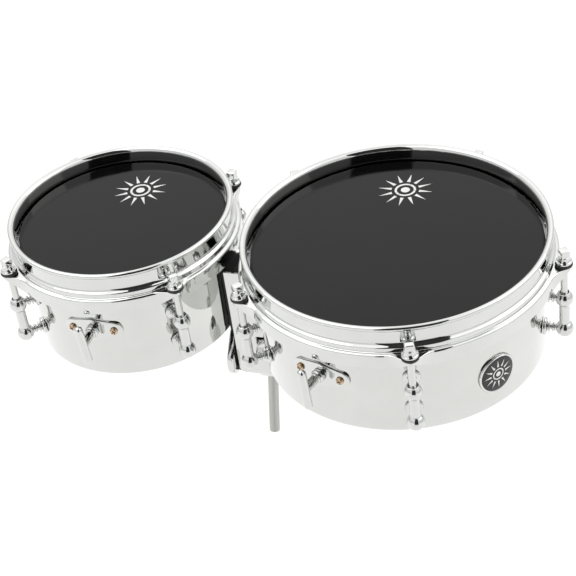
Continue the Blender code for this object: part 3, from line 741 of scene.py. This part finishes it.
def softened(node, name, width, segments, body, material, slot, angle=30):
    """A CAD node's own shape with its hard edges rounded over."""
    mesh = frame["nodes"][node].data.copy()
    mesh.materials.clear()
    bm = bmesh.new()
    bm.from_mesh(mesh)
    bmesh.ops.remove_doubles(bm, verts=bm.verts, dist=1e-6)
    bmesh.ops.dissolve_limit(bm, angle_limit=radians(1), verts=bm.verts, edges=bm.edges)
    bm.to_mesh(mesh)
    bm.free()
    mesh.shade_smooth()
    mesh.set_sharp_from_angle(angle=radians(35))
    obj = piece(name, mesh, Matrix.Identity(4), body, material, slot, node)
    bevel = obj.modifiers.new("soft", "BEVEL")
    bevel.width = width
    bevel.segments = segments
    bevel.limit_method = "ANGLE"
    bevel.angle_limit = radians(angle)
    bevel.use_clamp_overlap = True
    bevel.harden_normals = False
    return obj


def build_bracket():
    softened("bracket_block", "bracket_block_skin", 0.0006, 3, "drum_pair", PAINT["block_rubber"],
             "block_rubber", 50)
    for side in ("front", "back"):
        softened(f"bracket_{side}_plate", f"bracket_{side}_plate_skin", 0.0003, 3, "drum_pair",
                 PAINT["fitting_chrome"], "fitting_chrome", 50)
    softened("tilt_thumb_plate", "tilt_thumb_plate_skin", 0.0004, 3, "tilt_clamp", PAINT["fitting_chrome"],
             "fitting_chrome", 40)


def paint_cad():
    """Materials for the CAD nodes that stay as they are."""
    for name, node in frame["nodes"].items():
        if node.hide_render:
            continue
        slot = next(part["material_slot"] for part in frame["record"]["subparts"] if part["node"] == name)
        paint = {"fastener_steel": "steel", "rod_steel": "rod_steel"}.get(slot, "fitting_chrome")
        node.data.materials.clear()
        node.data.materials.append(PAINT[paint])
        node.data.shade_smooth()
        node.data.set_sharp_from_angle(angle=radians(30))


def build_object():
    shared = {"lug": lug_mesh(), "rod": tension_rod_mesh(), "washer": washer_mesh(),
              "inner_screw": screw_mesh(0, 0.0040, 0.0022), "brass_screw": screw_mesh(0, 0.00285, 0.0019),
              "turns": [radians(a) for a in (0, 20, 3, 38, 12, 55)]}
    shared["inner_screw"].materials.append(PAINT["steel"])
    # Slot 1 of each screw is its cross, black as painted shade for the recess.
    shared["inner_screw"].materials.append(PAINT["washer_black_and_recess_shade"])
    shared["brass_screw"].materials.append(PAINT["brass"])
    shared["brass_screw"].materials.append(PAINT["washer_black_and_recess_shade"])
    for drum in (LARGE, SMALL):
        build_drum(drum, shared)
    build_marks()
    build_bracket()
    paint_cad()


# ---- studio ----

def flat_material(name, colour, roughness=0.9, emission=0.0):
    m = Nodes(name)
    vector = m.coordinates()
    m.to(m.mixed(m.noise(vector, 3, 3), tuple(c * 0.985 for c in colour), colour), "Base Color")
    m.fix(Roughness=roughness)
    if emission:
        m.fix(Emission_Color=(*colour, 1), Emission_Strength=emission)
    return m.material


def card(name, width, height, location, target, material):
    mesh = bpy.data.meshes.new(name)
    w, h = width / 2, height / 2
    mesh.from_pydata([(-w, -h, 0), (w, -h, 0), (w, h, 0), (-w, h, 0)], [], [(0, 1, 2, 3)])
    mesh.materials.append(material)
    obj = bpy.data.objects.new(name, mesh)
    bpy.context.scene.collection.objects.link(obj)
    obj.location = location
    obj.rotation_euler = (Vector(target) - Vector(location)).to_track_quat("Z", "Y").to_euler()
    return obj


def area_light(name, size, power, location, target):
    data = bpy.data.lights.new(name, "AREA")
    data.shape = "RECTANGLE"
    data.size, data.size_y = size
    data.energy = power
    obj = bpy.data.objects.new(name, data)
    bpy.context.scene.collection.objects.link(obj)
    obj.location = location
    obj.rotation_euler = (Vector(target) - Vector(location)).to_track_quat("-Z", "Y").to_euler()
    return obj


def build_world():
    world = bpy.data.worlds.new("studio")
    bpy.context.scene.world = world
    world.use_nodes = True
    tree = world.node_tree
    background = tree.nodes["Background"]
    place = tree.nodes.new("ShaderNodeTexCoord")
    split = tree.nodes.new("ShaderNodeSeparateXYZ")
    ramp = tree.nodes.new("ShaderNodeValToRGB")
    tree.links.new(place.outputs["Generated"], split.inputs[0])
    tree.links.new(split.outputs["Z"], ramp.inputs["Fac"])
    tree.links.new(ramp.outputs["Color"], background.inputs["Color"])
    elements = ramp.color_ramp.elements
    elements[0].color = (0.47, 0.49, 0.52, 1)
    elements[1].position, elements[1].color = 1.0, (0.64, 0.645, 0.655, 1)
    for position, value in ((0.25, 0.58), (0.55, 0.74), (0.84, 1.0), (0.95, 1.0), (0.985, 0.68)):
        element = elements.new(position)
        element.color = (value, value, value, 1)
    background.inputs["Strength"].default_value = 1.40


def build_studio():
    build_world()
    floor = card("floor", 18, 18, (0, 0, FLOOR_Z), (0, 0, 1),
                 flat_material("floor_white", (0.93, 0.93, 0.925)))
    floor.rotation_euler = (0, 0, 0)
    area_light("key", (1.6, 1.2), 7, (-0.9, -0.6, 1.7), (0, 0, 0.1))
    area_light("fill", (1.4, 1.0), 4, (1.3, 0.2, 1.3), (0, 0, 0.1))
    dark = card("dark_opening", 1.30, 3.6, (0.64, -1.57, 1.38), (0, 0, 1.38),
                flat_material("opening_dark", (0.012, 0.012, 0.013)))
    dark.visible_camera = False


def build_camera():
    """The photograph's camera, put in the world from the pair's own frame."""
    data = bpy.data.cameras.new("camera")
    data.lens = CAMERA_LENS
    data.clip_start = 0.01
    camera = bpy.data.objects.new("camera", data)
    bpy.context.scene.collection.objects.link(camera)
    azimuth, elevation, roll = CAMERA_AZIMUTH, CAMERA_ELEVATION, CAMERA_ROLL
    forward = Vector((sin(azimuth) * cos(elevation), cos(azimuth) * cos(elevation), -sin(elevation)))
    level = Vector((cos(azimuth), -sin(azimuth), 0))
    lifted = level.cross(forward)
    right = cos(roll) * level + sin(roll) * lifted
    upward = -sin(roll) * level + cos(roll) * lifted
    matrix = Matrix((right, upward, -forward)).transposed().to_4x4()
    matrix.translation = CAMERA_AT
    camera.matrix_world = PAIR @ matrix
    bpy.context.scene.camera = camera


build_camera()
build_object()
build_studio()
bpy.context.scene.view_settings.view_transform = "Standard"
